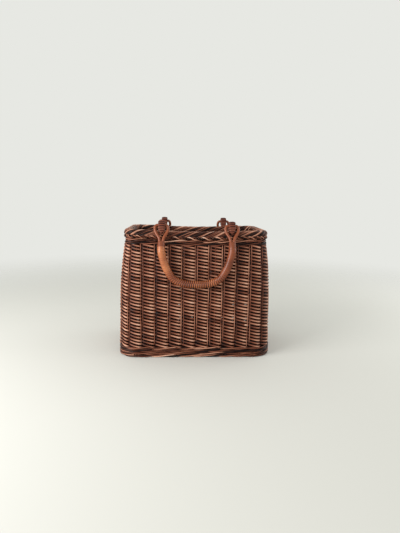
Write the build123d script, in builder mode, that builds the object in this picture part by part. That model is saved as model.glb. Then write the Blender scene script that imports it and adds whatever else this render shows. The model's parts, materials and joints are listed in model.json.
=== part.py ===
from build123d import *
import math
import os

# A woven willow box bag without a lid: a leaning rounded-rectangle wall woven round double
# stakes, a woven base, a plaited border, and two wrapped carrying handles whose end loops
# turn in four wrapped ears on the border.
# Millimetres. +X right, +Y to the back, +Z up, origin on the floor under the middle.

# ---- driving dimensions: basket ----
base_width = 300.0  # outside of the wall at the floor, left to right
base_depth = 180.0  # outside of the wall at the floor, front to back
corner_radius = 38.0  # outside corner of the wall at the floor
rim_height = 245.0  # top of the plaited border
wall_thickness = 9.0  # weaver, stake and weaver
lower_lean = 1.5  # degrees that the lower wall leans in
upper_lean = 10.0  # degrees that the wall leans in under the border
bend_height = 120.0  # where the wall starts to curve in
foot_wale_height = 19.0
foot_rounding = 2.5
upper_wale_height = 12.0
border_height = 16.0
border_width = 16.0
border_overhang = 3.0  # how far the border stands proud of the wall outside
border_rounding = 2.0

stake_pairs = 34
stake_diameter = 4.0
stake_gap = 0.1  # between the two rods of a pair
stake_spacing = stake_diameter + stake_gap

base_bottom = 2.0
base_thickness = 9.0
base_sticks = 7
base_stick_diameter = 5.0
base_stick_pitch = 21.0

# ---- driving dimensions: ears and handles ----
ear_spacing = 131.0  # between the two ears on one long side
ear_rod_diameter = 3.5
ear_rods = 3  # side by side in each ear
ear_skin = 0.8  # thickness of the wrapping on the ear
ear_front_tip = 5.5  # how far the outer leg comes down below the rim
ear_back_depth = 10.0  # how deep the inner leg is pushed into the border
pivot_rise = 8.3  # loop centre above the rim
pivot_inset = 1.9  # loop centre inside the border's outer face

loop_diameter = 5.5  # rod of the end loops
loop_lean = 22.5  # degrees that the loops stand out over the border
loop_top_past_ear = 4.3  # loop's top past each side of the ear, before its corners are rounded
loop_flare = 2.2  # how much further out the loop is at its widest
loop_wide_drop = 9.5
loop_neck_drop = 27.0
loop_top_radius = 4.5
loop_wide_radius = 11.0
loop_neck_radius = 20.0
loop_leg_gap = 0.3  # between the two legs of a loop where they run together
collar_drop = 31.8  # collar's upper end, measured down the loop from the pivot
collar_length = 10.2
collar_diameter = 14.6

handle_diameter = 14.0
handle_core_diameter = 8.0
handle_drop = 108.0  # pivot to the middle of the grip
handle_knee = 8.0  # straight stretch below the collar
grip_half = 0.33  # half of the straight grip, as a share of half the ear spacing
shoulder_out = 0.905  # first bend of the handle: share of half the spacing
shoulder_down = 0.43  # and share of the way down to the grip
elbow_out = 0.675
elbow_down = 0.865

# ---- clearances ----
fit_gap = 0.1  # a piece and the channel that holds it
running_gap = 0.45  # loop and ear, which turn on each other
handle_gap = 0.6  # hanging handle and wall

os.makedirs("parts", exist_ok=True)

wall_top = rim_height - border_height
wall_low = foot_wale_height
wall_high = wall_top - upper_wale_height
slope_low = math.sin(math.radians(lower_lean))
slope_high = math.sin(math.radians(upper_lean))
wall_curve = (wall_top - bend_height) / (slope_high - slope_low)


def lean(z):
    """How far the wall has leaned in at height z: a straight stretch, then a tangent arc."""
    if z <= bend_height:
        return z * math.tan(math.radians(lower_lean))
    sine = slope_low + (z - bend_height) / wall_curve
    arc = wall_curve * (math.cos(math.radians(lower_lean)) - math.sqrt(1 - sine**2))
    return bend_height * math.tan(math.radians(lower_lean)) + arc


def lean_line(z_start, z_end, inset):
    """Edges that follow the wall's lean between two heights, inset from its outer face."""
    heights = [z_start, z_end]
    if min(heights) < bend_height < max(heights):
        heights.insert(1, bend_height)
    for a, b in zip(heights, heights[1:]):
        start, end = (lean(a) + inset, a), (lean(b) + inset, b)
        middle = (a + b) / 2
        if max(a, b) <= bend_height:
            Line(start, end)
        else:
            ThreePointArc(start, (lean(middle) + inset, middle), end)


def ring_line(inset):
    """The wall's plan at the floor, inset from its outer face, from the front middle round."""
    half_x = base_width / 2 - inset
    half_y = base_depth / 2 - inset
    radius = corner_radius - inset
    flat_x, flat_y = half_x - radius, half_y - radius
    k = radius * math.sqrt(0.5)
    Line((0, -half_y), (flat_x, -half_y))
    ThreePointArc((flat_x, -half_y), (flat_x + k, -flat_y - k), (half_x, -flat_y))
    Line((half_x, -flat_y), (half_x, flat_y))
    ThreePointArc((half_x, flat_y), (flat_x + k, flat_y + k), (flat_x, half_y))
    Line((flat_x, half_y), (-flat_x, half_y))
    ThreePointArc((-flat_x, half_y), (-flat_x - k, flat_y + k), (-half_x, flat_y))
    Line((-half_x, flat_y), (-half_x, -flat_y))
    ThreePointArc((-half_x, -flat_y), (-flat_x - k, -flat_y - k), (-flat_x, -half_y))
    Line((-flat_x, -half_y), (0, -half_y))


# Sketch plane across the ring at the front middle: x runs inwards, y runs up.
section_plane = Plane(origin=(0, -base_depth / 2, 0), x_dir=(0, 1, 0), z_dir=(1, 0, 0))


def rounded_path(points, radii):
    """Straight runs through the points, each corner rounded by a tangent arc of its radius."""
    corners = [Vector(*p) for p in points]
    last = corners[0]
    for before, here, after, radius in zip(corners, corners[1:], corners[2:], radii):
        back = (before - here).normalized()
        on = (after - here).normalized()
        half_turn = math.radians(180 - back.get_angle(on)) / 2
        run = radius * math.tan(half_turn)
        inward = (back + on).normalized()
        start, end = here + back * run, here + on * run
        Line(last, start)
        ThreePointArc(start, here + inward * (radius / math.cos(half_turn) - radius), end)
        last = end
    Line(last, corners[-1])


def full_radii(points, share=0.45):
    """The largest radius at each corner that uses up no more than this share of its runs."""
    corners = [Vector(*p) for p in points]
    radii = []
    for before, here, after in zip(corners, corners[1:], corners[2:]):
        half_turn = math.radians(180 - (before - here).get_angle(after - here)) / 2
        run = share * min((before - here).length, (after - here).length)
        radii.append(run / math.tan(half_turn))
    return radii


# ---- stakes: pairs of rods that stand in the wall and lean with it ----
with BuildLine() as stake_ring:
    ring_line(wall_thickness / 2)
stake_wire = stake_ring.wire()


def stake_station(index):
    """Foot of one stake pair on the wall's middle line, with the way along and the way in."""
    share = (index + 0.5) / stake_pairs
    foot = stake_wire.position_at(share)
    along = stake_wire.tangent_at(share)
    return foot, along, Vector(-along.Y, along.X, 0)


def stake_solid(foot, along, inwards, z_start, z_end, pair_slot):
    """One rod, or the slot that takes a pair, swept up the wall's lean."""
    upright = Plane(origin=foot, x_dir=inwards, z_dir=inwards.cross(Vector(0, 0, 1)))
    base_point = upright.from_local_coords((lean(z_start), z_start))
    with BuildPart() as rod:
        with BuildLine(upright):
            lean_line(z_start, z_end, 0)
        with BuildSketch(Plane(origin=base_point, x_dir=along, z_dir=(0, 0, 1))):
            if pair_slot:
                SlotCenterToCenter(stake_spacing, stake_diameter + 2 * fit_gap)
            else:
                Circle(stake_diameter / 2)
        sweep()
    return rod.part


stake_top = wall_top - fit_gap - stake_diameter / 2 * slope_high
channels = []
stake_groups = {"front": [], "right": [], "back": [], "left": [], "corner": []}
for index in range(stake_pairs):
    foot, along, inwards = stake_station(index)
    channels.append(stake_solid(foot, along, inwards, base_bottom - fit_gap, wall_top + 1, True))
    if abs(inwards.X) < 0.01:
        group = "front" if inwards.Y > 0 else "back"
    elif abs(inwards.Y) < 0.01:
        group = "right" if inwards.X < 0 else "left"
    else:
        group = "corner"
    for side in (-1, 1):
        rod_foot = foot + along * (side * stake_spacing / 2)
        rod = stake_solid(rod_foot, along, inwards, base_bottom, stake_top, False)
        stake_groups[group].append(rod)

for group, rods in stake_groups.items():
    with BuildPart() as stakes:
        add(rods)
    stakes.part.label = group + "_stakes"
    export_step(stakes.part, "parts/" + group + "_stakes.step")

# ---- foot wale: the twined band that the bag stands on ----
with BuildPart() as foot_wale:
    with BuildLine():
        ring_line(0)
    with BuildSketch(section_plane) as foot_section:
        with BuildLine():
            lean_line(0, wall_low, 0)
            Line((lean(wall_low), wall_low), (lean(wall_low) + wall_thickness, wall_low))
            lean_line(wall_low, 0, wall_thickness)
            Line((wall_thickness, 0), (0, 0))
        make_face()
        fillet(foot_section.vertices().group_by(Axis.Y)[0], foot_rounding)
    sweep()
    add(channels, mode=Mode.SUBTRACT)
foot_wale.part.label = "foot_wale"
export_step(foot_wale.part, "parts/foot_wale.step")

# ---- wall weave: the randing, one closed band with a channel for each stake pair ----
with BuildPart() as wall_weave:
    with BuildLine():
        ring_line(0)
    with BuildSketch(section_plane):
        with BuildLine():
            lean_line(wall_low, wall_high, 0)
            Line((lean(wall_high), wall_high), (lean(wall_high) + wall_thickness, wall_high))
            lean_line(wall_high, wall_low, wall_thickness)
            Line((lean(wall_low) + wall_thickness, wall_low), (lean(wall_low), wall_low))
        make_face()
    sweep()
    add(channels, mode=Mode.SUBTRACT)
wall_weave.part.label = "wall_weave"
export_step(wall_weave.part, "parts/wall_weave.step")

# ---- upper wale: the twined band under the border ----
with BuildPart() as upper_wale:
    with BuildLine():
        ring_line(0)
    with BuildSketch(section_plane):
        with BuildLine():
            lean_line(wall_high, wall_top, 0)
            Line((lean(wall_top), wall_top), (lean(wall_top) + wall_thickness, wall_top))
            lean_line(wall_top, wall_high, wall_thickness)
            Line((lean(wall_high) + wall_thickness, wall_high), (lean(wall_high), wall_high))
        make_face()
    sweep()
    add(channels, mode=Mode.SUBTRACT)
upper_wale.part.label = "upper_wale"
export_step(upper_wale.part, "parts/upper_wale.step")

# ---- base: a woven panel round long sticks, inside the foot wale ----
base_top = base_bottom + base_thickness
base_inset = wall_thickness + lean(base_top) + fit_gap
panel_width = base_width - 2 * base_inset
panel_depth = base_depth - 2 * base_inset
panel_radius = corner_radius - base_inset
stick_height = base_bottom + base_thickness / 2
stick_length = panel_width - 2 * panel_radius
across_sticks = Plane(origin=(-stick_length / 2, 0, stick_height), x_dir=(0, 1, 0), z_dir=(1, 0, 0))

with BuildPart() as base_weave:
    with BuildSketch(Plane.XY.offset(base_bottom)):
        RectangleRounded(panel_width, panel_depth, panel_radius)
    extrude(amount=base_thickness)
    with BuildSketch(across_sticks.offset(-panel_width)):
        with GridLocations(base_stick_pitch, 0, base_sticks, 1):
            Circle(base_stick_diameter / 2 + fit_gap)
    extrude(amount=3 * panel_width, mode=Mode.SUBTRACT)
base_weave.part.label = "base_weave"
export_step(base_weave.part, "parts/base_weave.step")

with BuildPart() as sticks:
    with BuildSketch(across_sticks):
        with GridLocations(base_stick_pitch, 0, base_sticks, 1):
            Circle(base_stick_diameter / 2)
    extrude(amount=stick_length)
sticks.part.label = "base_sticks"
export_step(sticks.part, "parts/base_sticks.step")

# ---- ears and loop pivots, worked out from the border ----
border_inset = lean(wall_top) - border_overhang
border_front = -(base_depth / 2 - border_inset)
pivot_y = border_front + pivot_inset
pivot_z = rim_height + pivot_rise
ear_bore = loop_diameter / 2 + running_gap
ear_bend = ear_bore + ear_skin + fit_gap + ear_rod_diameter / 2
ear_pitch = ear_rod_diameter + fit_gap
ear_bundle = (ear_rods - 1) * ear_pitch
ear_leg_low = rim_height - ear_front_tip
ear_leg_deep = rim_height - ear_back_depth
ear_half_width = (ear_bundle + ear_rod_diameter) / 2 + ear_skin
loop_top_half = ear_half_width + loop_top_past_ear
loop_wide_half = loop_top_half + loop_flare


def ear_line(x, facing, shorter):
    """The ear's bend: up in front of the border, over the loop and down into the border."""
    front = facing * (pivot_y - ear_bend)
    back = facing * (pivot_y + ear_bend)
    Line((x, front, ear_leg_low + shorter), (x, front, pivot_z))
    ThreePointArc((x, front, pivot_z), (x, facing * pivot_y, pivot_z + ear_bend), (x, back, pivot_z))
    Line((x, back, pivot_z), (x, back, ear_leg_deep + shorter))


def ear_plane(x, facing, shorter):
    """Sketch plane at the foot of the ear's outer leg, its x along the border."""
    foot = (x, facing * (pivot_y - ear_bend), ear_leg_low + shorter)
    return Plane(origin=foot, x_dir=(1, 0, 0), z_dir=(0, 0, 1))


# facing is 1 at the front, and -1 at the back, where everything is turned about the middle
ears = [
    ("front_left", -1, 1),
    ("front_right", 1, 1),
    ("back_left", -1, -1),
    ("back_right", 1, -1),
]
pocket_width = ear_bundle + ear_rod_diameter + 2 * ear_skin + 4 * fit_gap
pocket_depth = ear_rod_diameter + 2 * ear_skin + 4 * fit_gap

# ---- border: one closed plaited ring on the wall, pocketed for the inner legs of the ears ----
with BuildPart() as border:
    with BuildLine():
        ring_line(0)
    with BuildSketch(section_plane) as border_section:
        near, far = border_inset, border_inset + border_width
        spring_line = rim_height - border_width / 2
        with BuildLine():
            Line((near, wall_top), (near, spring_line))
            ThreePointArc((near, spring_line), ((near + far) / 2, rim_height), (far, spring_line))
            Line((far, spring_line), (far, wall_top))
            Line((far, wall_top), (near, wall_top))
        make_face()
        fillet(border_section.vertices().group_by(Axis.Y)[0], border_rounding)
    sweep()
    for name, side, facing in ears:
        seat = (side * ear_spacing / 2, facing * (pivot_y + ear_bend), ear_leg_deep - fit_gap)
        with BuildSketch(Plane(origin=seat)):
            RectangleRounded(pocket_width, pocket_depth, pocket_depth / 2 - 0.01)
        extrude(amount=border_height, mode=Mode.SUBTRACT)
border.part.label = "border"
export_step(border.part, "parts/border.step")

for name, side, facing in ears:
    ear_x = side * ear_spacing / 2
    with BuildPart() as ear_core:
        for rod in range(ear_rods):
            rod_x = ear_x + (rod - (ear_rods - 1) / 2) * ear_pitch
            with BuildLine():
                ear_line(rod_x, facing, 0)
            with BuildSketch(ear_plane(rod_x, facing, 0)):
                Circle(ear_rod_diameter / 2)
            sweep()
    ear_core.part.label = "ear_rods_" + name
    export_step(ear_core.part, "parts/ear_rods_" + name + ".step")

    with BuildPart() as ear_wrap:
        with BuildLine():
            ear_line(ear_x, facing, ear_rod_diameter / 2)
        with BuildSketch(ear_plane(ear_x, facing, ear_rod_diameter / 2)):
            inner = ear_rod_diameter + 2 * fit_gap
            SlotCenterToCenter(ear_bundle, inner + 2 * ear_skin)
            SlotCenterToCenter(ear_bundle, inner, mode=Mode.SUBTRACT)
        sweep()
    ear_wrap.part.label = "ear_wrap_" + name
    export_step(ear_wrap.part, "parts/ear_wrap_" + name + ".step")

# ---- handles ----
lean_out = math.radians(loop_lean)
grip_z = pivot_z - handle_drop
grip_y = -(base_depth / 2 - lean(grip_z)) - handle_gap - handle_diameter / 2
collar_end = collar_drop + collar_length
half_spacing = ear_spacing / 2


def down_loop(x, drop):
    """Point on the front loop's leaning plane, this far down from the pivot."""
    return (x, pivot_y - drop * math.sin(lean_out), pivot_z - drop * math.cos(lean_out))


def turned(point, facing):
    """The same point for the handle that faces this way."""
    return (point[0], facing * point[1], point[2])


knee = down_loop(half_spacing, collar_end + handle_knee)
knee_to_grip = knee[2] - grip_z
hang_slope = (grip_y - knee[1]) / knee_to_grip


def on_hang(x, share_down):
    """Point on the plane in which the handle hangs, this share of the way to the grip."""
    down = share_down * knee_to_grip
    return (x, knee[1] + hang_slope * down, knee[2] - down)


right_half = [
    on_hang(grip_half * half_spacing, 1),
    on_hang(elbow_out * half_spacing, elbow_down),
    on_hang(shoulder_out * half_spacing, shoulder_down),
    knee,
    down_loop(half_spacing, collar_end),
]
left_half = [(-x, y, z) for x, y, z in reversed(right_half)]
handle_points = left_half + right_half
handle_radii = full_radii(handle_points)

leg_half = (loop_diameter + loop_leg_gap) / 2
loop_end = collar_end - fit_gap
loop_side = [
    (leg_half, loop_end),
    (leg_half, loop_neck_drop),
    (loop_wide_half, loop_wide_drop),
    (loop_top_half, 0),
]
loop_outline = [(-x, drop) for x, drop in loop_side] + loop_side[::-1]
loop_half_radii = [loop_neck_radius, loop_wide_radius, loop_top_radius]
loop_radii = loop_half_radii + loop_half_radii[::-1]

for facing, name in ((1, "front"), (-1, "back")):
    path = [turned(point, facing) for point in handle_points]
    start_plane = Plane(origin=path[0], z_dir=Vector(*path[1]) - Vector(*path[0]))
    with BuildPart() as core:
        with BuildLine():
            rounded_path(path, handle_radii)
        with BuildSketch(start_plane):
            Circle(handle_core_diameter / 2)
        sweep()
    core.part.label = name + "_handle_core"
    export_step(core.part, "parts/" + name + "_handle_core.step")

    with BuildPart() as wrap:
        with BuildLine():
            rounded_path(path, handle_radii)
        with BuildSketch(start_plane):
            Circle(handle_diameter / 2)
            Circle(handle_core_diameter / 2 + fit_gap, mode=Mode.SUBTRACT)
        sweep()
    wrap.part.label = name + "_handle_wrap"
    export_step(wrap.part, "parts/" + name + "_handle_wrap.step")

    for side, side_name in ((-1, "left"), (1, "right")):
        middle = side * half_spacing
        loop_path = [turned(down_loop(middle + x, drop), facing) for x, drop in loop_outline]
        loop_way = Vector(*loop_path[1]) - Vector(*loop_path[0])
        with BuildPart() as loop:
            with BuildLine():
                rounded_path(loop_path, loop_radii)
            with BuildSketch(Plane(origin=loop_path[0], z_dir=loop_way)):
                Circle(loop_diameter / 2)
            sweep()
        loop_name = name + "_loop_" + side_name
        loop.part.label = loop_name
        export_step(loop.part, "parts/" + loop_name + ".step")

        seat = turned(down_loop(middle, collar_end), facing)
        with BuildPart() as collar:
            with BuildSketch(Plane(origin=seat, x_dir=(1, 0, 0), z_dir=loop_way)):
                Circle(collar_diameter / 2)
                SlotCenterToCenter(2 * leg_half, loop_diameter + 2 * fit_gap, mode=Mode.SUBTRACT)
            extrude(amount=collar_length)
        collar_name = name + "_collar_" + side_name
        collar.part.label = collar_name
        export_step(collar.part, "parts/" + collar_name + ".step")
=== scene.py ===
import json
import math

import bpy
import numpy as np
from mathutils import Matrix, Vector


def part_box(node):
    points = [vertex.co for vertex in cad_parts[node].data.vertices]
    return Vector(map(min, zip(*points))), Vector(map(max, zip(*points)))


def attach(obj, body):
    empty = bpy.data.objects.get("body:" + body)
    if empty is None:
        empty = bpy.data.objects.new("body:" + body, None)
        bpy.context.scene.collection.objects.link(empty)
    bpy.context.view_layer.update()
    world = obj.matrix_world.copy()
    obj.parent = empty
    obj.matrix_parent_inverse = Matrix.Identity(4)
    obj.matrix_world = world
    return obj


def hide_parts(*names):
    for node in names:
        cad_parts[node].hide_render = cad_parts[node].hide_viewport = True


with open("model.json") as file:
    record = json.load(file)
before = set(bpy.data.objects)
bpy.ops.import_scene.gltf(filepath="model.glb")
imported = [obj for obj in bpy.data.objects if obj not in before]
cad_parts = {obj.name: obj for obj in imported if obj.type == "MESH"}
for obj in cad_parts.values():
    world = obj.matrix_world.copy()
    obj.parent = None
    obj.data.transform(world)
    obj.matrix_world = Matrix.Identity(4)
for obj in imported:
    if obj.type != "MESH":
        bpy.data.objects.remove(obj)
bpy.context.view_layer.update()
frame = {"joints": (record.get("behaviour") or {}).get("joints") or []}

MM = 0.001
TURN = 2 * math.pi
draw = np.random.default_rng(34)

# ---------------------------------------------------------------- the basket's own measures
LOWER_LEAN = math.radians(1.5)
UPPER_LEAN = math.radians(10.0)
BEND_HEIGHT = 120 * MM
CORNER_RADIUS = 38 * MM
WALL_THICKNESS = 9 * MM
STAKE_PAIRS = 34
STAKE_RADIUS = 2.0 * MM
STAKE_SPACING = 4.1 * MM  # between the middles of the two rods of a pair
RIM_SAG = 3.4 * MM  # in the middle of a long side
HAND_UNEVEN = 0.5 * MM
UNEVEN_INWARDS = 0.8  # the unevenness lies mostly inside the true wall
UNEVEN_SEED = 5


def low(node):
    """Lowest corner of a CAD node's box, as an array."""
    return np.array(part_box(node)[0])


def high(node):
    """Highest corner of a CAD node's box, as an array."""
    return np.array(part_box(node)[1])


wall_low, wall_high = low("wall_weave")[2], high("wall_weave")[2]
wall_top, rim_top = high("upper_wale")[2], high("border")[2]
lean_curve = (wall_top - BEND_HEIGHT) / (math.sin(UPPER_LEAN) - math.sin(LOWER_LEAN))


def lean(z):
    """How far the wall has leaned in at a height: a straight slope, then a tangent arc."""
    z = np.asarray(z, float)
    sine = np.clip(math.sin(LOWER_LEAN) + (z - BEND_HEIGHT) / lean_curve, 0, 0.9)
    arc = lean_curve * (math.cos(LOWER_LEAN) - np.sqrt(1 - sine**2))
    slope = math.tan(LOWER_LEAN)
    return np.where(z <= BEND_HEIGHT, z * slope, BEND_HEIGHT * slope + arc)


floor_half = high("wall_weave")[:2] + lean(wall_low)
wall_half = WALL_THICKNESS / 2
ring_radius = CORNER_RADIUS - wall_half
flat_x, flat_y = floor_half - CORNER_RADIUS
corner_run = ring_radius * math.pi / 2
ring_knots = np.cumsum([0, flat_x, corner_run, 2 * flat_y, corner_run, 2 * flat_x,
                        corner_run, 2 * flat_y, corner_run, flat_x])
ring_length = ring_knots[-1]
KNOT_ANGLE = np.radians([-90, -90, 0, 0, 90, 90, 180, 180, 270, 270])
KNOT_X = np.array([0, 1, 1, 1, 1, -1, -1, -1, -1, 0])
KNOT_Y = np.array([-1, -1, -1, 1, 1, 1, 1, -1, -1, -1])


def ring(share):
    """A point of the wall's middle line at the floor and the way outwards there.
    The share of the way round goes through straight sides, where the corner's centre moves on,
    and corners, where only the angle of the way outwards turns."""
    run = np.mod(share, 1.0) * ring_length
    angle = np.interp(run, ring_knots, KNOT_ANGLE)
    out = np.stack([np.cos(angle), np.sin(angle), np.zeros_like(angle)], -1)
    x = np.interp(run, ring_knots, KNOT_X * flat_x)
    y = np.interp(run, ring_knots, KNOT_Y * flat_y)
    return np.stack([x, y, np.zeros_like(x)], -1) + out * ring_radius, out


def wave(share, height, seed, turns=(2, 3, 5)):
    """A smooth hand-made unevenness between -1 and 1: a few sines round and up the wall."""
    phases = np.random.default_rng(seed).uniform(0, TURN, (len(turns), 2))
    total = 0
    for count, (a, b) in zip(turns, phases):
        total = total + np.sin(TURN * count * share + a) * np.sin(height * (9 + 7 * count) + b)
    return total / len(turns)


def settle(share, height):
    """Height after the rim has sagged between its corners: a cosine dip that fades downwards."""
    foot, _ = ring(share)
    x = np.clip(foot[..., 0] / (flat_x * 1.2), -1, 1)
    long_side = np.abs(foot[..., 1]) > flat_y
    dip = np.where(long_side, RIM_SAG * np.cos(x * math.pi / 2) ** 2, 0)
    return height - dip * np.clip(height / rim_top, 0, 1) ** 3


def on_wall(share, height, out=0.0):
    """A point in the woven wall: the ring's point, moved out and in by the wall's lean and by
    the unevenness of hand work, at its settled height. Also gives the way outwards."""
    share, height = np.broadcast_arrays(np.asarray(share, float), np.asarray(height, float))
    point, outwards = ring(share)
    uneven = HAND_UNEVEN * (wave(share, height, UNEVEN_SEED) - UNEVEN_INWARDS)
    point = point + outwards * (out + uneven - lean(height))[..., None]
    point[..., 2] = settle(share, height)
    return point, outwards


# ---------------------------------------------------------------- meshes
def unit(vectors):
    """Vectors divided by their own lengths."""
    return vectors / np.maximum(np.linalg.norm(vectors, axis=-1, keepdims=True), 1e-12)


def grid_faces(rows, columns, closed_rows):
    """Quads of a grid that closes across its columns, and along its rows if asked."""
    r = np.arange(rows if closed_rows else rows - 1)[:, None]
    c = np.arange(columns)[None, :]
    r_next, c_next = (r + 1) % rows, (c + 1) % columns
    quads = [r * columns + c, r * columns + c_next,
             r_next * columns + c_next, r_next * columns + c]
    return np.stack(np.broadcast_arrays(*quads), -1).reshape(-1, 4)


def skin_mesh(name, vertices, along, tone, closed=False):
    """Surfaces from grids: vertices are (pieces, steps, sides, 3). Each piece is a tube whose
    sides close round it; an open one gets a flat cap at each end. The UV map is the distance
    along the piece and the share round it, and the attribute tone tells one rod from another
    and carries the painted shade and highlights."""
    pieces, steps, sides, _ = vertices.shape
    one = grid_faces(steps, sides, closed)
    offsets = np.arange(pieces)[:, None, None] * steps * sides
    quads = (one[None] + offsets).reshape(-1, 4)
    loops = [quads.reshape(-1)]
    sizes = [np.full(len(quads), 4)]
    if not closed:
        first = offsets[:, 0] + np.arange(sides)[None, ::-1]
        last = offsets[:, 0] + (steps - 1) * sides + np.arange(sides)[None, :]
        loops += [first.reshape(-1), last.reshape(-1)]
        sizes.append(np.full(2 * pieces, sides))
    loops, sizes = np.concatenate(loops), np.concatenate(sizes)
    mesh = bpy.data.meshes.new(name)
    mesh.vertices.add(pieces * steps * sides)
    mesh.vertices.foreach_set("co", vertices.reshape(-1).astype(np.float32))
    mesh.loops.add(len(loops))
    mesh.loops.foreach_set("vertex_index", loops.astype(np.int32))
    mesh.polygons.add(len(sizes))
    starts = np.concatenate([[0], np.cumsum(sizes)[:-1]])
    mesh.polygons.foreach_set("loop_start", starts.astype(np.int32))
    mesh.update(calc_edges=True)
    step_of = (loops // sides) % steps
    side_of = loops % sides
    piece_of = loops // (sides * steps)
    corner = np.arange(len(loops))
    round_share = side_of / sides
    wrapped = (corner < len(quads) * 4) & (side_of == 0) & np.isin(corner % 4, (1, 2))
    round_share = np.where(wrapped, 1.0, round_share)
    uv = np.stack([along[piece_of, step_of], round_share], -1)
    layer = mesh.uv_layers.new(name="rod")
    layer.data.foreach_set("uv", uv.reshape(-1).astype(np.float32))
    shade = mesh.attributes.new("tone", "FLOAT", "POINT")
    tone = np.broadcast_to(tone if tone.ndim == 3 else tone[..., None], vertices.shape[:3])
    shade.data.foreach_set("value", tone.reshape(-1).astype(np.float32))
    mesh.polygons.foreach_set("use_smooth", np.ones(len(sizes), bool))
    piece = bpy.data.objects.new(name, mesh)
    bpy.context.scene.collection.objects.link(piece)
    return piece


def frame_along(centre, out, closed):
    """Outward and upward unit vectors along each path, square to it and to one another: the
    upward one is the tangent crossed with out, the outward one that crossed with the tangent."""
    if closed:
        ahead = np.roll(centre, -1, axis=1) - np.roll(centre, 1, axis=1)
    else:
        ahead = np.gradient(centre, axis=1)
    ahead = unit(ahead)
    up = unit(np.cross(ahead, out))
    return unit(np.cross(up, ahead)), up


def run_along(centre):
    """Distance along each path from its start."""
    steps = np.linalg.norm(np.diff(centre, axis=1), axis=-1)
    return np.concatenate([np.zeros((len(centre), 1)), np.cumsum(steps, axis=1)], axis=1)


CROWN_SHADE_POWER = 1.5  # the power of the cosine that parts a rod's lighter crown from its sides, which carry painted shade


def rods(name, centre, out, half_out, half_up, tone, sides=8, closed=False, side_shade=0.3):
    """Round or oval rods along paths (pieces, steps, 3): an ellipse with half axes half_out
    and half_up is carried along, its first axis on the outward vector. The tone falls by the
    side shade given last from the crown to the sides (a power of the cosine): painted shade
    where a rod meets its neighbours."""
    outwards, up = frame_along(centre, out, closed)
    turn = TURN * np.arange(sides) / sides
    shape = centre.shape[:2] + (1,)
    half_out = np.broadcast_to(half_out, centre.shape[:2]).reshape(shape)
    half_up = np.broadcast_to(half_up, centre.shape[:2]).reshape(shape)
    ring_out = (half_out * np.cos(turn))[..., None] * outwards[:, :, None, :]
    ring_up = (half_up * np.sin(turn))[..., None] * up[:, :, None, :]
    vertices = centre[:, :, None, :] + ring_out + ring_up
    # Painted shade on the sides of a rod, where it meets its neighbours.
    shaded_sides = side_shade * (1 - np.abs(np.cos(turn)) ** CROWN_SHADE_POWER)
    tone = np.broadcast_to(tone, centre.shape[:2])[..., None] - shaded_sides
    return skin_mesh(name, vertices, run_along(centre), tone, closed)


# ---------------------------------------------------------------- materials
def srgb(code):
    """Linear colour of an sRGB hex value."""
    parts = np.array([int(code[i:i + 2], 16) for i in (1, 3, 5)]) / 255
    linear = np.where(parts <= 0.04045, parts / 12.92, ((parts + 0.055) / 1.055) ** 2.4)
    return (*linear, 1.0)


def add(tree, kind, settings=None, links=None):
    """Adds a node, sets its values (a word is a property or an input, a number is an input's
    place), and links its inputs."""
    node = tree.nodes.new(kind)
    for key, value in (settings or {}).items():
        if isinstance(key, str) and hasattr(node, key):
            setattr(node, key, value)
        else:
            node.inputs[key].default_value = value
    for key, source in (links or {}).items():
        tree.links.new(source, node.inputs[key])
    return node


FIBRE_SHARE = 0.6  # of the streaks' strength
BUMP_HEIGHT = 0.3 * MM


def willow(name, stops, roughness, streak, fibre, grain=0.35, bump=0.25, gloss=0.2):
    """Willow or cane skin. Its tone changes from rod to rod and with the painted shade and
    highlights that the pieces carry (attribute tone), and in streaks; finer fibres add to the
    tone and give the bump. A streak and a fibre are each a real length along the piece and a
    count round it."""
    material = bpy.data.materials.new(name)
    material.use_nodes = True
    tree = material.node_tree
    shader = tree.nodes["Principled BSDF"]
    tone = add(tree, "ShaderNodeAttribute", {"attribute_name": "tone"})
    place = add(tree, "ShaderNodeUVMap", {"uv_map": "rod"})
    noises = []
    for (length, count_round), detail in ((streak, 4.0), (fibre, 3.0)):
        way = add(tree, "ShaderNodeMapping", {"Scale": (1 / length, count_round, 1.0)},
                  {"Vector": place.outputs[0]})
        noises.append(add(tree, "ShaderNodeTexNoise",
                          {"Scale": 1.0, "Detail": detail, "Roughness": 0.65},
                          {"Vector": way.outputs[0]}))
    streaks, fibres = noises
    mixed = add(tree, "ShaderNodeMath", {"operation": "MULTIPLY_ADD", 1: grain},
                {0: streaks.outputs[0], 2: tone.outputs["Fac"]})
    fine = add(tree, "ShaderNodeMath", {"operation": "MULTIPLY_ADD", 1: grain * FIBRE_SHARE},
               {0: fibres.outputs[0], 2: mixed.outputs[0]})
    average = grain * (1 + FIBRE_SHARE) / 2
    centred = add(tree, "ShaderNodeMath", {"operation": "SUBTRACT", 1: average},
                  {0: fine.outputs[0]})
    colour = add(tree, "ShaderNodeValToRGB", links={"Fac": centred.outputs[0]})
    elements = colour.color_ramp.elements
    while len(elements) < len(stops):
        elements.new(0.5)
    for element, (stop, code) in zip(elements, stops):
        element.position = stop
        element.color = srgb(code)
    relief = add(tree, "ShaderNodeBump", {"Strength": bump, "Distance": BUMP_HEIGHT},
                 {"Height": fibres.outputs[0]})
    tree.links.new(colour.outputs[0], shader.inputs["Base Color"])
    tree.links.new(relief.outputs[0], shader.inputs["Normal"])
    shader.inputs["Roughness"].default_value = roughness
    shader.inputs["Specular IOR Level"].default_value = gloss
    return material


def dress(piece, material, body, slot, *nodes):
    """Gives a piece its material and its body, and hides the CAD nodes it stands for. Its record
    slot is not used.
    """
    piece.data.materials.clear()
    piece.data.materials.append(material)
    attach(piece, body)
    if nodes:
        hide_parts(*nodes)


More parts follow.
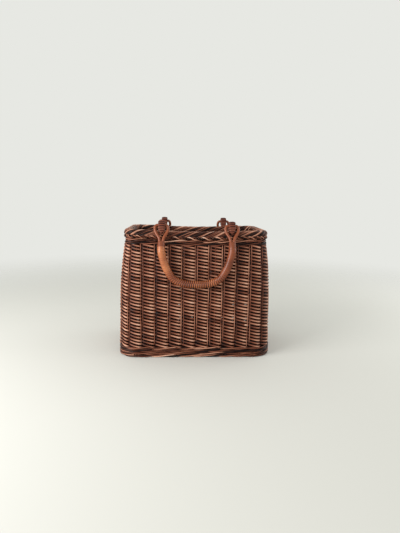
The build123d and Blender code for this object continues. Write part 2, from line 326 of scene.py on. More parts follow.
WEAVER_TONES = [(0.0, "#0C0201"), (0.22, "#290E07"), (0.45, "#76422E"), (0.68, "#C08D74"),
                (1.0, "#F4D8C6")]
EAR_TONES = [(0.0, "#160604"), (0.3, "#451C14"), (0.6, "#7C4433"), (1.0, "#C99078")]
HANDLE_TONES = [(0.0, "#200B04"), (0.3, "#522311"), (0.55, "#824327"), (0.8, "#BA744A"),
                (1.0, "#ECB48C")]
# Bark stain lies in streaks 25 mm long, 3 round a rod. The fibres of the skin are 11 mm long, 26
# round it, so about 0.4 mm apart, which is coarser than real ones, for them to show.
ROD_STREAK = (25 * MM, 3.0)
ROD_FIBRE = (11 * MM, 26.0)
# Buffed willow weavers, boiled in their bark and rubbed: a satin skin; the crowns are lighter
# because shade is painted on the rods' sides.
weaver_willow = willow("buffed_willow_weaver", WEAVER_TONES, 0.42, ROD_STREAK, ROD_FIBRE)
# The same willow in thicker rods: duller, because the hand never rubs them.
stake_willow = willow("buffed_willow_stake", WEAVER_TONES, 0.5, ROD_STREAK, ROD_FIBRE)

# ---------------------------------------------------------------- wall weave
ROW_PITCH = 3.1 * MM
rows = int(round((wall_high - wall_low) / ROW_PITCH))
row_pitch = (wall_high - wall_low) / rows
STEPS_PER_STAKE = 8
WEAVER_SIDES = 8
WEAVER_HALF_OUT = 1.2 * MM
WEAVER_HALF_UP = 1.95 * MM
# How much painted shade darkens the weavers' sides.
WEAVER_SIDE_SHADE = 0.45
WEAVER_TONE, WEAVER_TONE_SPREAD = 0.53, 0.065
THICKNESS_SPREAD = 0.05
ROW_SLACK = 0.11  # mm, how far a weaver lies above or below its true row
SETS = 4
SET_ROWS = 22
LEAST_DIP = 0.14  # rows; the extra drop in front of a stake pair is twice this at the top
LOW_DIP = 0.24  # rows, what is added to it at the foot
BACK_SPREAD = 0.2  # a weaver is drawn taller as it goes behind, to close the gaps there
CROWN_LAG = 0.07  # of a space, how late the crown comes after its stake pair
CROWN_FLATNESS = 1.5
HOLLOW_SHADE = 0.34  # how much darker a weaver gets as it goes behind
LIT_SWING = 0.6  # the swing at which it has its own tone
CROWN_END_HIGHLIGHT = 0.13  # painted highlight and shade: the lower end of a crown is this much lighter than its middle, its upper end this much darker


def weavers():
    """French randing: one weaver starts beside each stake pair and runs down to the right, in
    front of one pair and behind the next. Its swing out and in is a tanh of a sine. Its height
    falls by one row at each pair, plus a dip that is one minus a cosine, deeper towards the foot.
    After SET_ROWS passes the next set of rods goes on from it, in its own tone and thickness."""
    rng = np.random.default_rng(100)
    count = rows * STEPS_PER_STAKE + 1
    passes = np.arange(count) / STEPS_PER_STAKE
    share = (np.arange(STAKE_PAIRS)[:, None] + passes[None, :]) / STAKE_PAIRS
    dip = LEAST_DIP + LOW_DIP * (passes / rows) ** 2
    fall = passes + dip * (1 - np.cos(math.pi * passes))
    height = np.broadcast_to(wall_high - row_pitch * fall, share.shape)
    late = passes - CROWN_LAG * (1 - np.cos(TURN * passes))
    swing = np.tanh(CROWN_FLATNESS * np.sin(math.pi * late)) / math.tanh(CROWN_FLATNESS)
    knots = np.arange(rows + 2)
    slack = rng.normal(0, ROW_SLACK, (STAKE_PAIRS, len(knots))) * MM
    jitter = np.stack([np.interp(passes, knots, one) for one in slack])
    begun = passes + rng.uniform(0, SET_ROWS, (STAKE_PAIRS, 1))
    set_of = np.minimum(begun // SET_ROWS, SETS - 1).astype(int)
    rod = np.arange(STAKE_PAIRS)[:, None]
    thickness = rng.normal(1.0, THICKNESS_SPREAD, (STAKE_PAIRS, SETS))[rod, set_of]
    own_tone = rng.normal(WEAVER_TONE, WEAVER_TONE_SPREAD, (STAKE_PAIRS, SETS))
    tone = np.clip(own_tone, 0.2, 0.95)[rod, set_of]
    reach = STAKE_RADIUS + WEAVER_HALF_OUT
    centre, out = on_wall(share, height + jitter, reach * swing)
    # Painted shade as a weaver goes behind the stakes, lighter on its crown in front of them; a
    # painted highlight on each crown's lower end and painted shade on its upper end.
    crown_highlight_mask = np.cos(math.pi * late) * np.clip(swing, 0, 1)
    tone = tone + HOLLOW_SHADE * (swing - LIT_SWING) - CROWN_END_HIGHLIGHT * crown_highlight_mask
    return centre, out, thickness, thickness * (1 + BACK_SPREAD * (1 - swing)), tone


def wall_pieces():
    """The wall's weavers in two pieces, so that neither grows too large."""
    centre, out, thick, tall, tone = weavers()
    for part in (0, 1):
        own = slice(part, None, 2)
        piece = rods("wall_weavers_%d" % (part + 1), centre[own], out[own],
                     WEAVER_HALF_OUT * thick[own], WEAVER_HALF_UP * tall[own], tone[own],
                     WEAVER_SIDES, side_shade=WEAVER_SIDE_SHADE)
        dress(piece, weaver_willow, "basket", "brown_willow", "wall_weave")


wall_pieces()

# ---------------------------------------------------------------- stakes
STAKE_STEPS = 22
STAKE_SIDES = 10
STAKE_INTO_BORDER = 3 * MM
# The stakes are toned nearly black: painted shade, so that they read as the dark gaps between the
# weavers.
STAKE_TONE, STAKE_TONE_SPREAD = 0.16, 0.08
UPWARDS = np.array([0, 0, 1.0])
SIDEWAYS = np.array([1.0, 0, 0])
base_floor = low("base_weave")[2]


def stake_pieces():
    """Pairs of straight rods that stand in the weave at the middle of each column and follow
    the wall's lean, a little apart, up into the border."""
    share = np.repeat((np.arange(STAKE_PAIRS) + 0.5) / STAKE_PAIRS, 2)
    side = np.tile([-0.5, 0.5], STAKE_PAIRS)
    height = np.linspace(base_floor, wall_top + STAKE_INTO_BORDER, STAKE_STEPS)
    centre, out = on_wall(share[:, None], height[None, :])
    along = np.cross(UPWARDS, out)
    centre = centre + along * (side * STAKE_SPACING)[:, None, None]
    tone = np.clip(draw.normal(STAKE_TONE, STAKE_TONE_SPREAD, len(share)), 0.02, 1)[:, None]
    piece = rods("side_stakes", centre, out, STAKE_RADIUS, STAKE_RADIUS, tone, STAKE_SIDES)
    dress(piece, stake_willow, "basket", "stake_willow", "front_stakes", "back_stakes",
          "left_stakes", "right_stakes", "corner_stakes")


stake_pieces()

# ---------------------------------------------------------------- twined bands
RING_STEPS = STAKE_PAIRS * 7
WALE_WAVES = 11
WALE_RODS = 3
WALE_OUT = 3.0 * MM
WALE_FLATNESS = 1.3
WALE_LEAN_OUT = 0.45  # a waling rod is outside for longer than it is inside
WALE_LOOSENESS = 0.25
WALE_TONE, WALE_TONE_SPREAD = 0.38, 0.13
TONE_DRIFT = 0.16  # how far a long rod's tone wanders on its way round
# How much painted shade darkens the sides of the waling and border rods.
BAND_SIDE_SHADE = 0.5


def twined_ring(heights, reach_up, seed):
    """Rounds of waling: three rods follow one another, a third of a wave apart. Each swings out
    and in by a tanh of a cosine, and climbs and drops by a sine of the same wave."""
    rng = np.random.default_rng(seed)
    share = np.arange(RING_STEPS) / RING_STEPS
    start = np.repeat(rng.uniform(0, 1, len(heights)), WALE_RODS)
    lag = np.tile(np.arange(WALE_RODS) / WALE_RODS, len(heights)) + start
    level = np.repeat(heights, WALE_RODS)
    phase = TURN * (WALE_WAVES * share[None, :] + lag[:, None])
    swing = np.tanh(WALE_FLATNESS * (np.cos(phase) + WALE_LEAN_OUT))
    rise = np.sin(phase) * reach_up
    slack = np.sin(TURN * 7 * share + rng.uniform(0, TURN, len(level))[:, None])
    loose = 1 + WALE_LOOSENESS * slack
    centre, out = on_wall(share[None, :], level[:, None] + rise * loose, swing * WALE_OUT)
    tone = np.clip(rng.normal(WALE_TONE, WALE_TONE_SPREAD, len(level)), 0.1, 0.9)[:, None]
    drift = TONE_DRIFT * np.sin(TURN * 3 * share + rng.uniform(0, TURN, len(level))[:, None])
    return centre, out, tone + drift


FOOT_RADIUS = 1.4 * MM
FOOT_ROUNDS = 4
FOOT_CLIMB = 1.5 * MM
foot_top = high("foot_wale")[2]
foot_lowest = FOOT_RADIUS + FOOT_CLIMB * (1 + WALE_LOOSENESS)
foot_levels = np.linspace(foot_lowest, foot_top - 1.0 * MM, FOOT_ROUNDS)
centre, out, tone = twined_ring(foot_levels, FOOT_CLIMB, seed=21)
foot_piece = rods("foot_wale_rods", centre, out, FOOT_RADIUS, FOOT_RADIUS, tone, closed=True,
                  side_shade=BAND_SIDE_SHADE)
dress(foot_piece, weaver_willow, "basket", "brown_willow", "foot_wale")

UPPER_ROUNDS = 2
UPPER_RADIUS = 1.5 * MM
UPPER_CLIMB = 1.9 * MM
UPPER_SHADE = 0.04  # it is a little darker under the border's overhang
upper_levels = wall_high + (wall_top - wall_high) * (np.arange(UPPER_ROUNDS) + 0.5) / UPPER_ROUNDS
centre, out, tone = twined_ring(upper_levels, UPPER_CLIMB, seed=22)
upper_piece = rods("upper_wale_rods", centre, out, UPPER_RADIUS, UPPER_RADIUS,
                   tone - UPPER_SHADE, closed=True, side_shade=BAND_SIDE_SHADE)
dress(upper_piece, weaver_willow, "basket", "brown_willow", "upper_wale")

# ---------------------------------------------------------------- plaited border
BORDER_WIDTH = 16 * MM
border_inset = floor_half[0] - high("border")[0]
BORDER_TURNS = 11
BORDER_TONE, BORDER_TONE_SPREAD = 0.44, 0.17
TOP_HIGHLIGHT = 0.2  # painted highlight: how much lighter the top of the rim is, where the light from above falls on it
STRANDS = 6
STRAND_RODS = 3
STRAND_RADIUS = 1.2 * MM
STRAND_BUNCH = 0.78  # of a strand's room that its rods take up
ROLL_FOOT = 3.0 * MM
roll_low = wall_top + ROLL_FOOT
roll_middle = (roll_low + rim_top) / 2
roll_half_up = (rim_top - roll_low) / 2 - STRAND_RADIUS
BORDER_DRAWN_IN = 1.4 * MM
roll_half_out = (BORDER_WIDTH - BORDER_DRAWN_IN) / 2 - STRAND_RADIUS


def on_border(share, height, inset):
    """A point in the border: the ring's point moved straight in by its inset from the floor's
    outline, because the border stands upright, at its settled height."""
    point, outwards = ring(share)
    point = point + outwards * (wall_half - inset)[..., None]
    point[..., 2] = settle(share, height)
    return point, outwards


def border_roll(rod_count, strands, turns, half_axes, middle, hand, seed, bunch):
    """Rods that wind round the rim as a rope. Each follows an ellipse with half_axes (out, up)
    round the middle (inset, height); its angle grows evenly with the way round the rim, one way
    (hand 1) or the other (hand -1). The rods of a strand lie close together."""
    half_out, half_up = half_axes
    middle_inset, middle_height = middle
    rng = np.random.default_rng(seed)
    share = np.arange(RING_STEPS * 2) / (RING_STEPS * 2)
    strand = np.repeat(np.arange(strands), rod_count) / strands
    beside = np.arange(rod_count) - (rod_count - 1) / 2
    within = np.tile(beside * bunch / (strands * rod_count), strands)
    uneven = 0.10 * np.sin(TURN * 5 * share + TURN * strand[:, None]) / strands
    angle = hand * TURN * (turns * share[None, :] + uneven) + TURN * (strand + within)[:, None]
    puff = 1 + 0.05 * np.sin(TURN * 9 * share + rng.uniform(0, TURN, len(strand))[:, None])
    inset = middle_inset - half_out * np.cos(angle) * puff
    height = middle_height + half_up * np.sin(angle) * puff
    around = np.broadcast_to(share, angle.shape)
    centre, _ = on_border(around, height, inset)
    heart, _ = on_border(around, np.full(angle.shape, middle_height),
                         np.full(angle.shape, middle_inset))
    out = unit(centre - heart)
    tone = np.clip(rng.normal(BORDER_TONE, BORDER_TONE_SPREAD, len(strand)), 0.08, 0.9)[:, None]
    # Painted highlight on the top of the roll.
    tone = tone + TOP_HIGHLIGHT * np.clip(np.sin(angle), 0, 1) ** 2
    drift = TONE_DRIFT * np.sin(TURN * 4 * share + rng.uniform(0, TURN, len(strand))[:, None])
    return centre, out, tone + drift


border_middle = border_inset + (BORDER_WIDTH + BORDER_DRAWN_IN) / 2
centre, out, tone = border_roll(STRAND_RODS, STRANDS, BORDER_TURNS, (roll_half_out, roll_half_up),
                                (border_middle, roll_middle), 1, 31, STRAND_BUNCH)
roll_piece = rods("border_plait", centre, out, STRAND_RADIUS, STRAND_RADIUS, tone, closed=True,
                  side_shade=BAND_SIDE_SHADE)
dress(roll_piece, weaver_willow, "basket", "brown_willow", "border")

CORE_SHADE_TONE = 0.04  # painted shade: the inside of the plait, toned nearly black, which is seen only as the dark between its rods
core_share = np.arange(RING_STEPS) / RING_STEPS
core_centre, core_out = on_border(core_share[None], np.full((1, RING_STEPS), roll_middle),
                                  np.full((1, RING_STEPS), border_middle))
core_piece = rods("border_core", core_centre, core_out, roll_half_out - STRAND_RADIUS,
                  roll_half_up - STRAND_RADIUS, CORE_SHADE_TONE, 12, closed=True)
dress(core_piece, weaver_willow, "basket", "brown_willow")

TRIM_RADIUS = 1.25 * MM
TRIM_STRANDS = 3
TRIM_TURNS = 33
TRIM_HALF_AXES = (1.6 * MM, 2.2 * MM)
TRIM_ABOVE_WALE = 2.6 * MM
TRIM_INSETS = {"outer": 3.8 * MM, "inner": 12.6 * MM}
for name, inset in TRIM_INSETS.items():
    middle = (border_inset + inset, wall_top + TRIM_ABOVE_WALE)
    centre, out, tone = border_roll(1, TRIM_STRANDS, TRIM_TURNS, TRIM_HALF_AXES, middle,
                                    -1, 33, 1.0)
    trim = rods("border_foot_" + name, centre, out, TRIM_RADIUS, TRIM_RADIUS, tone, 6, closed=True)
    dress(trim, weaver_willow, "basket", "brown_willow")

# ---------------------------------------------------------------- outer ribs
RIB_RADIUS = 0.9 * MM
RIB_SPACING = 4.4 * MM
RIB_OUT = 2.5 * MM
RIB_SINK = 1.3 * MM
RIB_STEPS = 40
RIB_FOOT_SPREAD = 16  # mm, over which the lower ends are scattered
RIB_TONE, RIB_TONE_SPREAD = 0.66, 0.13
RIB_RIGHT_SHADE = 0.14
RIB_SUNK_SHADE = 0.15


def outer_ribs():
    """Slim pairs of rods that lie in the grooves where the weavers cross, half way between the
    stakes. They follow the wall's lean, sink in and out by a squared sine, and taper at the foot,
    where they end at different heights."""
    rng = np.random.default_rng(55)
    share = np.repeat(np.arange(STAKE_PAIRS) / STAKE_PAIRS, 2)
    side = np.tile([-0.5, 0.5], STAKE_PAIRS)
    bottom = foot_top + rng.uniform(0, RIB_FOOT_SPREAD, len(share)) * MM
    up = np.linspace(0, 1, RIB_STEPS)
    height = bottom[:, None] + (wall_high + 2 * MM - bottom[:, None]) * up[None, :]
    start = rng.uniform(0, TURN, len(share))[:, None]
    wobble = 0.35 * MM * np.sin(TURN * 1.5 * up[None, :] + start)
    start = rng.uniform(0, TURN, len(share))[:, None]
    sunk = 0.5 + 0.5 * np.sin(TURN * 2.3 * up[None, :] + start)
    centre, out = on_wall(share[:, None], height, RIB_OUT - RIB_SINK * sunk**2)
    along = np.cross(UPWARDS, out)
    centre = centre + along * ((side * RIB_SPACING)[:, None] + wobble)[..., None]
    thick = RIB_RADIUS * np.clip(0.35 + up * 14, 0, 1) * rng.uniform(0.9, 1.1, (len(share), 1))
    tone = np.clip(rng.normal(RIB_TONE, RIB_TONE_SPREAD, len(share)), 0.3, 1)[:, None]
    tone = tone - RIB_RIGHT_SHADE * (side[:, None] > 0) - RIB_SUNK_SHADE * sunk
    piece = rods("outer_ribs", centre, out, thick, thick, tone)
    dress(piece, stake_willow, "basket", "stake_willow")


outer_ribs()

# ---------------------------------------------------------------- base
STICK_PITCH = 21 * MM
BASE_PITCH = 3.2 * MM
BASE_ROD_HALF_UP = 1.2 * MM
BASE_ROD_HALF_OUT = 1.5 * MM
BASE_EDGE = 1 * MM
BASE_FLATNESS = 1.4
BASE_TONE, BASE_TONE_SPREAD = 0.42, 0.15
stick_radius = (high("base_sticks")[2] - low("base_sticks")[2]) / 2
stick_height = (high("base_sticks")[2] + low("base_sticks")[2]) / 2


def base_rods():
    """Weavers that cross the bottom from front to back, over one stick and under the next: a
    tanh of a cosine whose half wave is the stick pitch. Each ends at the rounded outline of the
    base."""
    rng = np.random.default_rng(61)
    half_width, half_depth = high("base_weave")[:2] - BASE_EDGE
    radius = CORNER_RADIUS - WALL_THICKNESS
    count = int(2 * half_width / BASE_PITCH)
    room = 2 * half_width - 2 * BASE_ROD_HALF_OUT
    x = (np.arange(count) - (count - 1) / 2) * room / (count - 1)
    into_corner = np.clip(np.abs(x) - (half_width - radius), 0, radius)
    reach = half_depth - radius + np.sqrt(radius**2 - into_corner**2)
    y = np.linspace(-1, 1, 65)[None, :] * reach[:, None]
    over = (-1.0) ** np.arange(count)[:, None]
    swing = np.tanh(BASE_FLATNESS * np.cos(math.pi * y / STICK_PITCH)) / math.tanh(BASE_FLATNESS)
    z = stick_height + over * swing * (stick_radius * 0.62 + BASE_ROD_HALF_UP)
    centre = np.stack([np.broadcast_to(x[:, None], y.shape), y, z], -1)
    up = np.broadcast_to(UPWARDS, centre.shape)
    tone = np.clip(rng.normal(BASE_TONE, BASE_TONE_SPREAD, count), 0.08, 0.9)[:, None]
    piece = rods("base_weavers", centre, up, BASE_ROD_HALF_UP, BASE_ROD_HALF_OUT, tone)
    dress(piece, weaver_willow, "basket", "brown_willow", "base_weave")


base_rods()


def stick_rods():
    """The sticks that lie along the bottom, which the base weavers pass over and under."""
    half_length = high("base_sticks")[0]
    half_rows = high("base_sticks")[1] - stick_radius
    y = np.linspace(-half_rows, half_rows, int(round(2 * half_rows / STICK_PITCH)) + 1)
    x = np.linspace(-half_length, half_length, 60)
    shape = (len(y), len(x))
    centre = np.stack([np.broadcast_to(x, shape), np.broadcast_to(y[:, None], shape),
                       np.full(shape, stick_height)], -1)
    tone = draw.uniform(0.35, 0.6, len(y))[:, None]
    # A little painted shade on the sticks' sides.
    piece = rods("base_stick_rods", centre, np.broadcast_to(UPWARDS, centre.shape),
                 stick_radius, stick_radius, tone, 12, side_shade=0.1)
    dress(piece, stake_willow, "basket", "stake_willow", "base_sticks")


stick_rods()

# ---------------------------------------------------------------- paths of ears and handles
joint_at = {joint["name"]: np.array(joint["pos_m"]) for joint in frame["joints"]}
LOOP_LEAN = math.radians(22.5)
COLLAR_TOP = 31.8 * MM
COLLAR_END = 42 * MM
HANDLE_KNEE = 8 * MM
# The handle's outline: shares of the ears' distance from the middle (half, out) and of the way
# from the knees down to the grip (down).
GRIP_HALF, SHOULDER_OUT, SHOULDER_DOWN, ELBOW_OUT, ELBOW_DOWN = 0.33, 0.905, 0.43, 0.675, 0.865
pivot = joint_at["front_handle_swing"]
ear_x = (low("ear_wrap_front_right")[0] + high("ear_wrap_front_right")[0]) / 2
EARS = {"front_left": (-1, 1), "front_right": (1, 1),
        "back_left": (-1, -1), "back_right": (1, -1)}


def smooth_path(points, radii, step):
    """Points every step along straight runs whose corners are rounded by tangent arcs."""
    points = [np.array(p, float) for p in points]
    line = [points[0]]
    for before, here, after, radius in zip(points, points[1:], points[2:], radii):
        back, on = unit(before - here), unit(after - here)
        half_turn = (math.pi - math.acos(np.clip(back @ on, -1, 1))) / 2
        run = radius * math.tan(half_turn)
        middle = here + unit(back + on) * radius / math.cos(half_turn)
        first, last = here + back * run - middle, here + on * run - middle
        share = np.linspace(0, 1, 25)[:, None]
        arc = np.sin((1 - share) * 2 * half_turn) * first + np.sin(share * 2 * half_turn) * last
        line.extend(middle + arc / math.sin(2 * half_turn))
    line = np.array(line + [points[-1]])
    length = np.concatenate([[0], np.cumsum(np.linalg.norm(np.diff(line, axis=0), axis=1))])
    even = np.linspace(0, length[-1], int(round(length[-1] / step)) + 1)
    return np.stack([np.interp(even, length, line[:, k]) for k in range(3)], -1)


def full_radii(points, share=0.45):
    """The largest radius at each corner that uses up this share of its shorter run."""
    points = [np.array(p, float) for p in points]
    radii = []
    for before, here, after in zip(points, points[1:], points[2:]):
        half_turn = (math.pi - math.acos(unit(before - here) @ unit(after - here))) / 2
        shorter = min(np.linalg.norm(before - here), np.linalg.norm(after - here))
        radii.append(share * shorter / math.tan(half_turn))
    return radii


def down_loop(x, drop):
    """Point on the front loop's leaning plane, this far down from the pivot."""
    return (x, pivot[1] - drop * math.sin(LOOP_LEAN), pivot[2] - drop * math.cos(LOOP_LEAN))


GROOVE_SHADE = 0.75  # how much darker a groove is for each millimetre of its depth


def wound(name, path, across, half_across, half_thick, relief, tone, sides, power=1.0):
    """A wrapped rod: an oval (or, with power below 1, a flatter superellipse) carried along a
    path, its first axis on the vector across; relief(run, turn) in metres is added outwards."""
    centre = path[None]
    first, second = frame_along(centre, np.broadcast_to(across, centre.shape), False)
    turn = TURN * np.arange(sides) / sides
    cos, sin = np.cos(turn), np.sin(turn)
    cos, sin = np.sign(cos) * np.abs(cos) ** power, np.sign(sin) * np.abs(sin) ** power
    run = run_along(centre)[0]
    raised = relief(run[:, None], turn[None, :])
    half_across = np.broadcast_to(half_across, run.shape)[:, None]
    half_thick = np.broadcast_to(half_thick, run.shape)[:, None]
    a = (half_across + raised) * cos
    b = (half_thick + raised) * sin
    ring_across = a[..., None] * first[0][:, None]
    ring_thick = b[..., None] * second[0][:, None]
    vertices = centre[0][:, None] + ring_across + ring_thick
    tone = np.asarray(tone, float)
    tones = tone[:, None] if tone.ndim == 1 else tone
    tones = np.broadcast_to(tones, raised.shape) + raised / MM * GROOVE_SHADE
    return skin_mesh(name, vertices[None], run[None], tones[None])


def strands(pitch, depth, slant=0.0):
    """Relief of strands laid side by side: between two strands it drops by depth, over each
    strand it is a parabola. Slant moves the pattern along as it goes round."""
    def relief(run, turn):
        u = np.mod(run / pitch + slant * turn / TURN, 1.0) * 2 - 1
        return -depth * u**2
    return relief


# ---------------------------------------------------------------- ears
EAR_STRAND = 3.1 * MM
EAR_SLANT = 0.35
EAR_RELIEF = 1.15 * MM
EAR_BORE = 3.2 * MM  # radius of the room for the loop
EAR_FLATNESS = 0.75
EAR_SIDES = 28
EAR_TONE, EAR_TONE_SWING, EAR_TONE_RUN = 0.61, 0.10, 5 * MM
BOW_POINTS = 60
ear_box_low, ear_box_high = low("ear_wrap_front_right"), high("ear_wrap_front_right")
ear_half_across = (ear_box_high[0] - ear_box_low[0]) / 2
ear_half_thick = (ear_box_high[2] - pivot[2] - EAR_BORE) / 2
ear_bend = EAR_BORE + ear_half_thick
EAR_TIP_BELOW = 6.5 * MM
EAR_TIP_RUN = 9 * MM


def ear(name, side, facing):
    """A wrapped bridge over the loop: up in front of the border, a half circle over the loop
    and down into the border. The front leg tapers to a tip."""
    front, back = facing * (pivot[1] - ear_bend), facing * (pivot[1] + ear_bend)
    x = side * ear_x
    tip = rim_top - EAR_TIP_BELOW
    turn = np.linspace(math.pi, 0, BOW_POINTS)
    bow = np.stack([np.full(BOW_POINTS, x), facing * (pivot[1] + ear_bend * np.cos(turn)),
                    pivot[2] + ear_bend * np.sin(turn)], -1)
    legs = [[[x, front, tip]], bow, [[x, back, ear_box_low[2] + 1 * MM]]]
    path = smooth_path(np.concatenate(legs), [0.1 * MM] * BOW_POINTS, EAR_STRAND / 8)
    run = run_along(path[None])[0]
    taper = np.sqrt(np.clip((run + 0.4 * MM) / EAR_TIP_RUN, 0, 1))
    across = ear_half_across * np.maximum(taper, 0.16)
    thick = ear_half_thick * np.clip(0.45 + 0.55 * taper, 0, 1)
    tone = EAR_TONE + EAR_TONE_SWING * np.sin(run / EAR_TONE_RUN)
    piece = wound("ear_" + name, path, SIDEWAYS, across, thick,
                  strands(EAR_STRAND, EAR_RELIEF, EAR_SLANT), tone, EAR_SIDES, EAR_FLATNESS)
    dress(piece, ear_cane, "basket", "wrapping_cane", "ear_wrap_" + name, "ear_rods_" + name)


# Across the turns of the winding: a streak is about one strand wide, a fibre 0.6 mm.
CANE_STREAK = (3.1 * MM, 1.5)
CANE_FIBRE = (0.6 * MM, 3.0)
# Split cane, stained and wound on tightly: darker, with a thin shine on each turn.
ear_cane = willow("stained_cane_binding", EAR_TONES, 0.38, CANE_STREAK, CANE_FIBRE)
for name, (side, facing) in EARS.items():
    ear(name, side, facing)

# ---------------------------------------------------------------- handles
LOOP_RADIUS = 2.75 * MM
LOOP_SIDES = 20
LOOP_TONE = 0.56
LOOP_TOP_PAST_EAR = 4.3 * MM
LOOP_FLARE = 2.2 * MM
leg_half = LOOP_RADIUS + 0.15 * MM
loop_top_half = ear_half_across + LOOP_TOP_PAST_EAR
# Half the width of a loop and how far down, from its foot up to the pivot.
LOOP_SIDE = [(leg_half, 41.9 * MM), (leg_half, 27 * MM),
             (loop_top_half + LOOP_FLARE, 9.5 * MM), (loop_top_half, 0)]
loop_outline = [(-x, drop) for x, drop in LOOP_SIDE] + LOOP_SIDE[::-1]
LOOP_RADII = [20 * MM, 11 * MM, 4.5 * MM, 4.5 * MM, 11 * MM, 20 * MM]
HANDLE_RADIUS = 7 * MM
HANDLE_SIDES = 32
HANDLE_STRAND = 3.9 * MM
HANDLE_SLANT = 0.6
HANDLE_GAP = 0.6 * MM  # between the grip and the wall
HANDLE_TONE = 0.595
LOW_LIGHT = 0.07  # how much lighter the bottom of the grip is
LEFT_END_HIGHLIGHT = 0.16  # painted light: how much lighter its left end, towards the light, is than its right
COLLAR_RADIUS = 7.3 * MM
COLLAR_NECK_ACROSS = 5.95 * MM
COLLAR_NECK_THICK = 3.3 * MM
COLLAR_STRAND = 2.4 * MM
COLLAR_SIDES = 28
COLLAR_TONE = 0.55
knee = np.array(down_loop(ear_x, COLLAR_END + HANDLE_KNEE))
grip_z = low("front_handle_wrap")[2] + HANDLE_RADIUS
grip = np.array([0, -(floor_half[1] - lean(grip_z)) - HANDLE_GAP - HANDLE_RADIUS, grip_z])


def on_hang(x, share_down):
    """Point on the plane in which the handle hangs, this share of the way to the grip."""
    y, z = knee[1:] + (grip[1:] - knee[1:]) * share_down
    return (x, y, z)


right_half = [on_hang(GRIP_HALF * ear_x, 1), on_hang(ELBOW_OUT * ear_x, ELBOW_DOWN),
              on_hang(SHOULDER_OUT * ear_x, SHOULDER_DOWN), tuple(knee),
              down_loop(ear_x, COLLAR_END)]
handle_points = [(-x, y, z) for x, y, z in reversed(right_half)] + right_half


def grip_binding(name, flip, out):
    """The wrapped grip of one handle: strands whose grooves are deepest along the bottom and
    shallow up the legs. The tone is two sines along the grip, and falls from left to right as
    painted light."""
    path = smooth_path(handle_points, full_radii(handle_points), HANDLE_STRAND / 8) * flip
    run = run_along(path[None])[0]
    middle = np.abs(run / run[-1] - 0.5) * 2
    low_part = np.clip(1.35 - middle * 2.2, 0, 1)
    depth = (0.10 + 1.0 * low_part)[:, None] * MM
    lay = strands(HANDLE_STRAND, 1.0, HANDLE_SLANT)
    patches = HANDLE_TONE + 0.06 * np.sin(run / (17 * MM)) + 0.05 * np.sin(run / (5.3 * MM))
    # Painted light: the grip is lighter towards its left end, where the light comes from.
    patches = patches - LEFT_END_HIGHLIGHT * (run / run[-1] - 0.5) + LOW_LIGHT * low_part
    piece = wound(name + "_handle_binding", path, out, HANDLE_RADIUS, HANDLE_RADIUS,
                  lambda r, t: depth * lay(r, t), patches, HANDLE_SIDES)
    dress(piece, handle_cane, name + "_handle", "wrapping_cane",
          name + "_handle_wrap", name + "_handle_core")


def end_loop(name, side, side_name, flip, out):
    """The bent rod at one end of a handle, which passes through the ear."""
    points = [np.array(down_loop(side * ear_x + x, drop)) for x, drop in loop_outline]
    path = smooth_path(points, LOOP_RADII, 0.7 * MM) * flip
    loop = wound("%s_loop_%s_rod" % (name, side_name), path, out, LOOP_RADIUS, LOOP_RADIUS,
                 strands(14 * MM, 0.12 * MM, 2.0), LOOP_TONE, LOOP_SIDES)
    dress(loop, handle_cane, name + "_handle", "handle_rod", "%s_loop_%s" % (name, side_name))


def collar_binding(name, side, side_name, flip):
    """The binding of a loop's two legs to the grip: an oval at the neck that swells, by a power
    of the way along it, to a circle a little thicker than the grip."""
    ends = (COLLAR_TOP, COLLAR_END + 0.4 * MM)
    points = [np.array(down_loop(side * ear_x, drop)) for drop in ends]
    path = smooth_path(points, [], 0.3 * MM) * flip
    swell = np.clip(run_along(path[None])[0] / (COLLAR_END - COLLAR_TOP), 0, 1) ** 0.7
    across = COLLAR_NECK_ACROSS + (COLLAR_RADIUS - COLLAR_NECK_ACROSS) * swell
    thick = COLLAR_NECK_THICK + (COLLAR_RADIUS - COLLAR_NECK_THICK) * swell
    collar = wound("%s_collar_%s_binding" % (name, side_name), path, SIDEWAYS, across, thick,
                   strands(COLLAR_STRAND, 0.3 * MM, 0.8), COLLAR_TONE, COLLAR_SIDES)
    dress(collar, handle_cane, name + "_handle", "wrapping_cane",
          "%s_collar_%s" % (name, side_name))


def handle(name, facing):
    """One carrying handle in the front handle's place; facing -1 turns it to the back."""
    flip = np.array([1.0, facing, 1.0])
    out = np.array([0, -facing, 0.3])
    grip_binding(name, flip, out)
    for side, side_name in ((-1, "left"), (1, "right")):
        end_loop(name, side, side_name, flip, out)
        collar_binding(name, side, side_name, flip)


# Split cane wound round the handle and polished by the hand: the shiniest skin on the bag.
handle_cane = willow("smooth_cane_binding", HANDLE_TONES, 0.32, CANE_STREAK, CANE_FIBRE,
                     grain=0.28, gloss=0.35)
handle("front", 1)
handle("back", -1)


# ---------------------------------------------------------------- floor, light and camera
FLOOR_HALF = 3.0
FADE_START, FADE_END = 0.45, 1.5  # metres from the bag
IMAGE_WIDTH, IMAGE_HEIGHT = 400, 533
SENSOR = 36  # mm, along the longer side


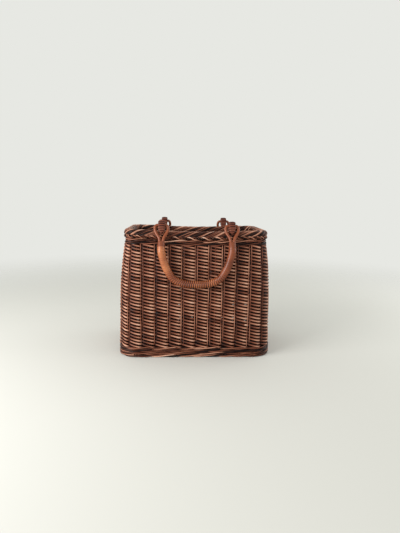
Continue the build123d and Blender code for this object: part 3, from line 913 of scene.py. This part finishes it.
def pale_floor():
    """A plain square floor that fades out into the pale surroundings, so that it has no edge."""
    mesh = bpy.data.meshes.new("studio_floor")
    corners = [(-FLOOR_HALF, -FLOOR_HALF, 0), (FLOOR_HALF, -FLOOR_HALF, 0),
               (FLOOR_HALF, FLOOR_HALF, 0), (-FLOOR_HALF, FLOOR_HALF, 0)]
    mesh.from_pydata(corners, [], [(0, 1, 2, 3)])
    floor = bpy.data.objects.new("studio_floor", mesh)
    bpy.context.scene.collection.objects.link(floor)
    # Matt background paper, uncoated: an even pale grey with no gleam of its own.
    material = bpy.data.materials.new("matt_paper")
    material.use_nodes = True
    tree = material.node_tree
    shader, output = tree.nodes["Principled BSDF"], tree.nodes["Material Output"]
    shader.inputs["Base Color"].default_value = srgb("#CDCDC8")
    shader.inputs["Roughness"].default_value = 0.9
    shader.inputs["Specular IOR Level"].default_value = 0.1
    place = add(tree, "ShaderNodeTexCoord")
    far = add(tree, "ShaderNodeVectorMath", {"operation": "LENGTH"}, {0: place.outputs["Object"]})
    fade = add(tree, "ShaderNodeMapRange",
               {"interpolation_type": "SMOOTHSTEP", 1: FADE_START, 2: FADE_END},
               {0: far.outputs["Value"]})
    clear = add(tree, "ShaderNodeBsdfTransparent")
    mixed = add(tree, "ShaderNodeMixShader",
                links={0: fade.outputs[0], 1: shader.outputs[0], 2: clear.outputs[0]})
    tree.links.new(mixed.outputs[0], output.inputs["Surface"])
    mesh.materials.append(material)


def soft_light(name, place, aim, size, energy, colour):
    """A square soft box at a place, turned to its aim: sizes in metres, energy in watts."""
    light = bpy.data.lights.new(name, "AREA")
    light.size = size
    light.energy = energy
    light.color = colour
    box = bpy.data.objects.new(name, light)
    bpy.context.scene.collection.objects.link(box)
    turn = (Vector(aim) - Vector(place)).to_track_quat("-Z", "Y").to_matrix().to_4x4()
    box.matrix_world = Matrix.Translation(place) @ turn


CAMERA_AWAY, CAMERA_ASIDE, CAMERA_HEIGHT = 0.822, 0.011, 0.302
CAMERA_YAW, CAMERA_DOWN, CAMERA_ROLL = np.radians([3.0, 9.57, 1.0]).tolist()


def camera():
    """A camera before the bag, a little to its left and above its rim, looking slightly down."""
    lens = bpy.data.cameras.new("studio_camera")
    lens.lens = SENSOR * IMAGE_WIDTH / IMAGE_HEIGHT
    lens.sensor_width = SENSOR
    view = bpy.data.objects.new("studio_camera", lens)
    bpy.context.scene.collection.objects.link(view)
    x = -CAMERA_AWAY * math.sin(CAMERA_YAW) + CAMERA_ASIDE * math.cos(CAMERA_YAW)
    y = -CAMERA_AWAY * math.cos(CAMERA_YAW) - CAMERA_ASIDE * math.sin(CAMERA_YAW)
    yaw = Matrix.Rotation(-CAMERA_YAW, 4, "Z")
    tilt = Matrix.Rotation(math.pi / 2 - CAMERA_DOWN, 4, "X")
    roll = Matrix.Rotation(CAMERA_ROLL, 4, "Z")
    view.matrix_world = Matrix.Translation((x, y, CAMERA_HEIGHT)) @ yaw @ tilt @ roll
    bpy.context.scene.camera = view


pale_floor()
soft_light("window_side", (-0.9, -0.58, 0.45), (0, 0, 0.12), 0.7, 13, (1.0, 0.985, 0.97))
soft_light("fill_side", (1.1, 0.1, 0.5), (0.25, -0.1, 0), 0.9, 5, (1.0, 0.99, 0.98))
# A pale room all round gives the even, soft part of the light.
surroundings = bpy.data.worlds.new("pale_room")
surroundings.use_nodes = True
surroundings.node_tree.nodes["Background"].inputs["Color"].default_value = srgb("#E7E8E3")
surroundings.node_tree.nodes["Background"].inputs["Strength"].default_value = 1.0
bpy.context.scene.world = surroundings
bpy.context.scene.view_settings.view_transform = "Standard"
camera()
